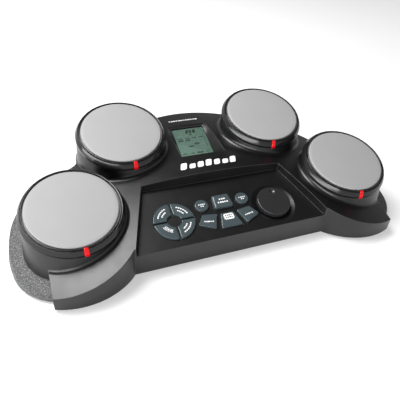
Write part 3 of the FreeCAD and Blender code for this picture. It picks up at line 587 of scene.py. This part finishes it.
def dashes(x, y, count, pitch, length, height, turn=0.0):
    """A row of short bars of uneven length, centred on (x, y) and turned by an angle in degrees: an
    abstract stand-in for a line of small print."""
    row = []
    lean = math.radians(turn)
    for i in range(count):
        along = (i - (count - 1) / 2) * pitch
        uneven = 0.75 + 0.25 * (i % 3)
        outline = bar(along, 0, length * uneven, height)
        row.append([(x + a * math.cos(lean) - b * math.sin(lean), y + a * math.sin(lean) + b * math.cos(lean))
                    for a, b in outline])
    return row


def dome_marks():
    """Seven bars of uneven height in front of the display, and a row of dashes behind it."""
    heights = (10.5, 7.5, 9.0, 10.5, 9.0, 7.5, 10.5)
    foot, pitch, width = -4.85, 10.2, 7.4
    bars = []
    for i, height in enumerate(heights):
        bars.append(bar((i - 3) * pitch, foot + height / 2, width, height, slant=0.35))
    printed("front_motif", bars, on_dome, "body", "shell_black", PRINT_WHITE)
    back_row = dashes(0, 95.3, count=12, pitch=3.3, length=2.3, height=2.4)
    printed("back_motif", back_row, on_dome, "body", "shell_black", PRINT_WHITE)


QUARTERS = {"upper_right": 0, "upper_left": 90, "lower_right": 270}  # where each quarter starts, in degrees


def bent_rows(x, y, quarter):
    """Two rows of blocks bent round (x, y), in the middle of a quarter."""
    pitch, width, length, gap = 8.6, 1.5, 6.2, 1.2
    marks = []
    for radius, count in ((17.4, 6), (13.6, 4)):
        for i in range(count):
            start = quarter + 45 + (i - count / 2) * pitch + gap
            marks.append(ring_bar(x, y, radius, width, start, start + length, 3))
    return marks


def framed_row(x, y):
    """A row of blocks between two lines, bent round (x, y), in the lower left quarter."""
    line_width, block_width, block_length = 0.5, 1.4, 6.5
    marks = [ring_bar(x, y, radius, line_width, 202, 248) for radius in (15.4, 12.0)]
    for start in (206, 215, 224, 233, 240):
        marks.append(ring_bar(x, y, 13.7, block_width, start, start + block_length, 3))
    return marks


def key_marks(tops):
    """Abstract marks in place of the words on the keys, each on its own key."""
    ring_middle = centre_in_panel(*[n for n in tops if "ring" in n])
    for name, top in tops.items():
        surface = on_plane(PANEL, top)
        x, y = centre_in_panel(name)
        if name == "key_ring_lower_left":
            marks = framed_row(*ring_middle)
        elif "ring" in name:
            marks = bent_rows(*ring_middle, QUARTERS[name.removeprefix("key_ring_")])
        elif "square" in name:
            marks = dashes(x, y + 1.8, 3, 2.6, 1.9, 1.7) + dashes(x, y - 2.4, 5, 2.6, 1.9, 1.9)
        elif "middle" in name:
            marks = [bar(x, y + 3.4, 11.6, 7.6)]
            on_patch = on_plane(PANEL, top + PRINT_THICKNESS)
            lines = dashes(x, y + 4.8, 4, 2.4, 1.7, 1.3) + dashes(x, y + 2.2, 4, 2.4, 1.7, 1.3)
            printed("mark_dark_" + name, lines, on_patch, name, "key_plastic", SEGMENT_DARK)
        elif "round" in name:
            marks = dashes(x, y + 0.8, 4, 2.2, 1.6, 1.4) + dashes(x, y - 1.6, 2, 2.2, 1.6, 1.4)
        else:
            marks = dashes(x, y, 5, 2.2, 1.6, 1.5, -10 if "left" in name else 10)
        printed("mark_" + name, marks, surface, name, "key_plastic", PRINT_WHITE)


def centre_in_panel(*nodes):
    """The middle of these nodes' boxes, in panel coordinates, in millimetres."""
    to_panel = PANEL.inverted()
    points = [to_panel @ v.co / MM for n in nodes for v in frame["nodes"][n].data.vertices]
    xs, ys = [p.x for p in points], [p.y for p in points]
    return (min(xs) + max(xs)) / 2, (min(ys) + max(ys)) / 2


def display_segments():
    """Dark segments on the liquid crystal: blocks and dashes in rows, with no lettering."""
    back_y, back_z, window_thickness = 79.0, 65.6, 1.5
    place = basis(Vector((0, back_y, back_z)) * MM, PAD_UP)
    width, length = 41.0, 47.0
    block, undivided, taller, filled = 2.1, 2.5, 1.35, 0.9
    # left and right as shares of the width, place as a share of the length, and thickness in
    # millimetres before it is made taller; a row as thick as "undivided" or more is one block
    rows = [
        (0.40, 0.50, 0.13, 4.2), (0.53, 0.60, 0.13, 4.2), (0.63, 0.73, 0.13, 4.2), (0.50, 0.58, 0.24, 1.6),
        (0.08, 0.23, 0.36, 1.0), (0.31, 0.46, 0.36, 1.0), (0.54, 0.69, 0.36, 1.0), (0.77, 0.92, 0.36, 1.0),
        (0.08, 0.24, 0.43, 1.7), (0.31, 0.47, 0.43, 1.7), (0.55, 0.71, 0.58, 1.7), (0.34, 0.50, 0.66, 1.5),
        (0.06, 0.21, 0.90, 0.9), (0.32, 0.44, 0.90, 0.9), (0.53, 0.72, 0.90, 1.8), (0.80, 0.93, 0.90, 0.9),
        (0.93, 0.945, 0.5, 16.0),
    ]
    outlines = []
    for left, right, down, tall in rows:
        count = max(1, round((right - left) * width / block)) if tall < undivided else 1
        for i in range(count):
            step = (right - left) * width / count
            x = (left - 0.5) * width + (i + 0.5) * step
            outlines.append(bar(x, -down * length, step * filled, taller * tall))
    on_glass = on_plane(place, -window_thickness)
    printed("display_segments", outlines, on_glass, "body", "display_liquid", SEGMENT_DARK)


# ---------------------------------------------------------------- rear sockets
REAR_WALL_Y, SOCKET_Z = 104.0, 21.0
SOCKETS = {
    # name: (x, number of marks over it, radius of the jack's bore, outer radius of its plated ring)
    "power": (-42.5, 1, None, None),
    "inlet": (-25.5, 2, None, None),
    "aux": (-8.5, 3, 1.85, 3.3),
    "phones": (8.5, 2, 1.85, 3.3),
    "kick": (25.5, 3, 3.25, 5.2),
    "hat": (42.5, 4, 3.25, 5.2),
}


def socket_rings():
    """A plated ring round each jack's mouth, a little proud of the wall."""
    facing_back = Matrix.Rotation(math.radians(-90), 4, "X")
    proud, root, corner, segments = 0.6, -3.0, 0.4, 48
    for name, (x, _, bore, outer) in SOCKETS.items():
        if bore:
            place = Matrix.Translation(Vector((x, REAR_WALL_Y + proud, SOCKET_Z)) * MM) @ facing_back
            section = [(bore, root), (outer, root), (outer, 0.2)] + arc(outer - corner, 0.5, corner, 0, 90, 3)
            section += arc(bore + corner, 0.4, corner, 90, 180, 3)
            rings = [section_ring(section, place, angle) for angle in turns_of(segments)]
            vertices, faces = rings_mesh(rings, closed=True)
            new_piece("socket_ring_" + name, vertices, faces, "body", "contact_steel", 40)


def socket_marks():
    """A row of small bars over each socket, with no lettering."""
    mark_z = 29.0

    def on_wall(x, z, lift):
        """A point over the back wall, where x runs the other way; millimetres in, metres out."""
        return Vector((-x, REAR_WALL_Y + lift, z)) * MM

    for name, (x, count, *_) in SOCKETS.items():
        bars = dashes(-x, mark_z, count, 2.2, 1.5, 1.1)
        printed("socket_mark_" + name, bars, on_wall, "body", "shell_black", PRINT_WHITE)


# ---------------------------------------------------------------- stage
def camera():
    """A camera at the player's left, above the front, looking down across the pads."""
    azimuth, elevation, roll = math.radians(-23.28), math.radians(38.27), math.radians(4.31)
    back = Vector((math.sin(azimuth) * math.cos(elevation), -math.cos(azimuth) * math.cos(elevation),
                   math.sin(elevation)))
    right = Vector((math.cos(azimuth), math.sin(azimuth), 0))
    up = back.cross(right)
    turned_right = math.cos(roll) * right + math.sin(roll) * up
    turned_up = -math.sin(roll) * right + math.cos(roll) * up
    eye, lens, sensor, near = (-0.1709, -0.3796, 0.334), 38.284, 36.0, 0.01
    data = bpy.data.cameras.new("camera")
    data.lens = lens
    data.sensor_width = sensor
    data.clip_start = near
    item = bpy.data.objects.new("camera", data)
    rotation = Matrix((turned_right, turned_up, back)).transposed().to_4x4()
    item.matrix_world = Matrix.Translation(eye) @ rotation
    bpy.context.scene.collection.objects.link(item)
    bpy.context.scene.camera = item


def softbox(name, place, target, size, power):
    """A rectangular area light aimed at a point; metres and watts."""
    data = bpy.data.lights.new(name, "AREA")
    data.shape = "RECTANGLE"
    data.size, data.size_y = size
    data.energy = power
    item = bpy.data.objects.new(name, data)
    aim = (Vector(place) - Vector(target)).to_track_quat("Z", "Y").to_matrix().to_4x4()
    item.matrix_world = Matrix.Translation(place) @ aim
    bpy.context.scene.collection.objects.link(item)


def studio():
    """A pale floor that fades into a pale horizon, darkness overhead, and two softboxes."""
    reach, floor_glow, sky_strength = 30.0, 0.42, 0.9
    floor_mesh = bpy.data.meshes.new("floor")
    corners = [(-reach, -reach, 0), (reach, -reach, 0), (reach, reach, 0), (-reach, reach, 0)]
    floor_mesh.from_pydata(corners, [], [(0, 1, 2, 3)])
    floor = bpy.data.objects.new("floor", floor_mesh)
    bpy.context.scene.collection.objects.link(floor)
    pale, tree, shader = new_material("floor_pale", 0.7, specular=0.2)
    tone = blend_colours(tree, noise(tree, 3.0), (0.62, 0.62, 0.62), (0.65, 0.65, 0.65))
    tree.links.new(tone, shader.inputs["Base Color"])
    shader.inputs["Emission Color"].default_value = (1, 1, 1, 1)
    shader.inputs["Emission Strength"].default_value = floor_glow
    floor_mesh.materials.append(pale)

    softbox("softbox_over", (-0.55, 0.40, 1.30), (0, 0, 0), (0.8, 0.8), 30)
    softbox("softbox_strip", (-1.42, -0.72, 0.27), (0, 0, 0.07), (3.0, 0.36), 40)

    world = bpy.data.worlds.new("studio")
    world.use_nodes = True
    tree = world.node_tree
    direction = node(tree, "ShaderNodeTexCoord")
    split = node(tree, "ShaderNodeSeparateXYZ")
    tree.links.new(direction.outputs["Generated"], split.inputs["Vector"])
    sky = ramp(tree, split.outputs["Z"], [(0.0, 1.0), (0.30, 0.8), (0.48, 0.05), (1.0, 0.15)])
    tree.links.new(sky, tree.nodes["Background"].inputs["Color"])
    tree.nodes["Background"].inputs["Strength"].default_value = sky_strength
    bpy.context.scene.world = world
    bpy.context.scene.view_settings.view_transform = "Standard"


dress_cad_nodes()
for pad_name in PADS:
    pad_head(pad_name)
    pad_rim(pad_name)
    strike_marker(pad_name)
key_tops = {name: key_cap(name) for name in frame["nodes"] if name.startswith("key_")}
key_marks(key_tops)
dome_marks()
display_segments()
socket_rings()
socket_marks()
camera()
studio()
